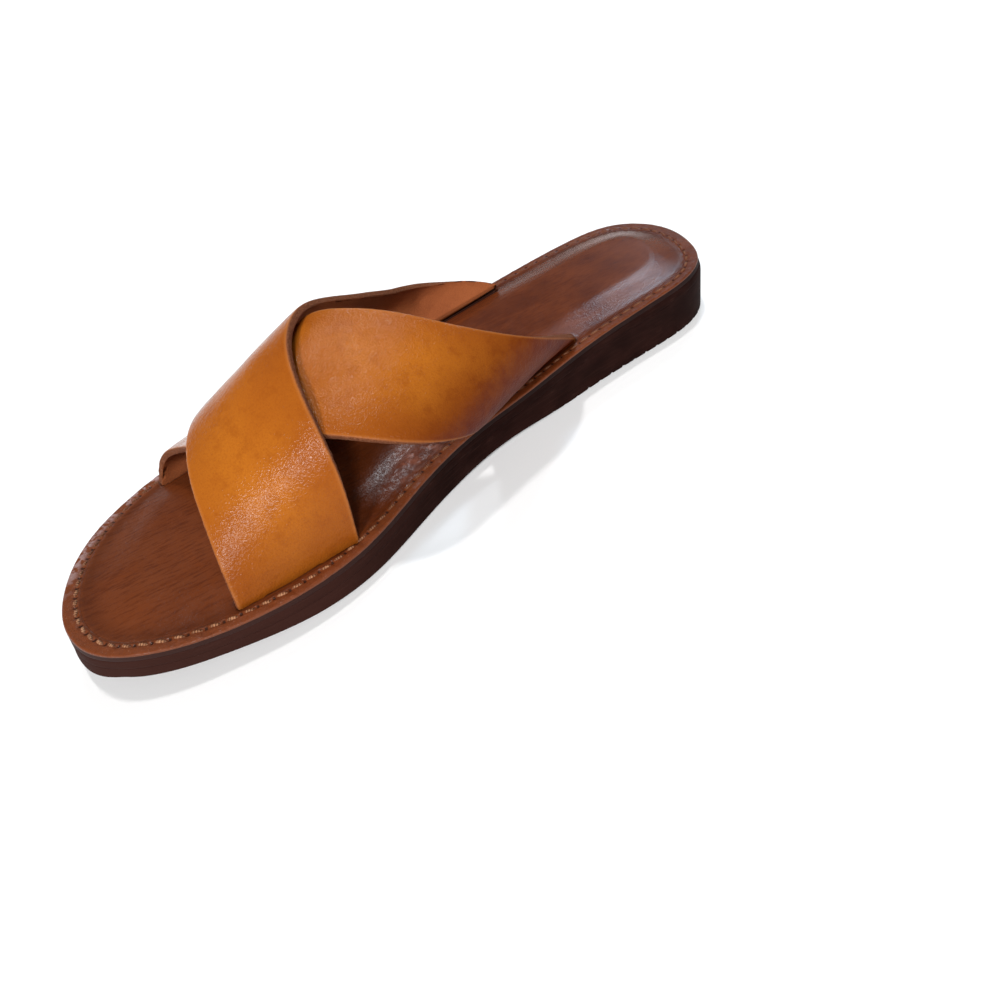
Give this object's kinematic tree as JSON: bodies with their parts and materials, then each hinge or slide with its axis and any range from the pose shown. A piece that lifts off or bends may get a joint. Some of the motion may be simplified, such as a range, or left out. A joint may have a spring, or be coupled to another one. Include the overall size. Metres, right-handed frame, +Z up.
{
  "type": "slide sandal",
  "caption": "Right slide sandal: low wedge sole, padded leather insole with a stitched margin, and two broad crossed leather straps glued where they cross.",
  "frame": {"origin": "on the floor under the middle of the shoe's bounding box, shoe standing empty on its sole", "axes": "+Z up, -Y towards the toe, +X towards the inner (medial) side of the foot; a right shoe"},
  "size_m": [0.0962, 0.273, 0.0629],
  "materials": {
    "sole_rubber": "matt, ground side wall",
    "midsole_board": "matt, ground side wall",
    "insole_leather": "waxed, glossy",
    "strap_leather": "smooth, satin"
  },
  "bodies": {
    "root": {"outsole": "sole_rubber", "midsole": "midsole_board", "insole": "insole_leather", "upper": "strap_leather"}
  },
  "joints": []
}
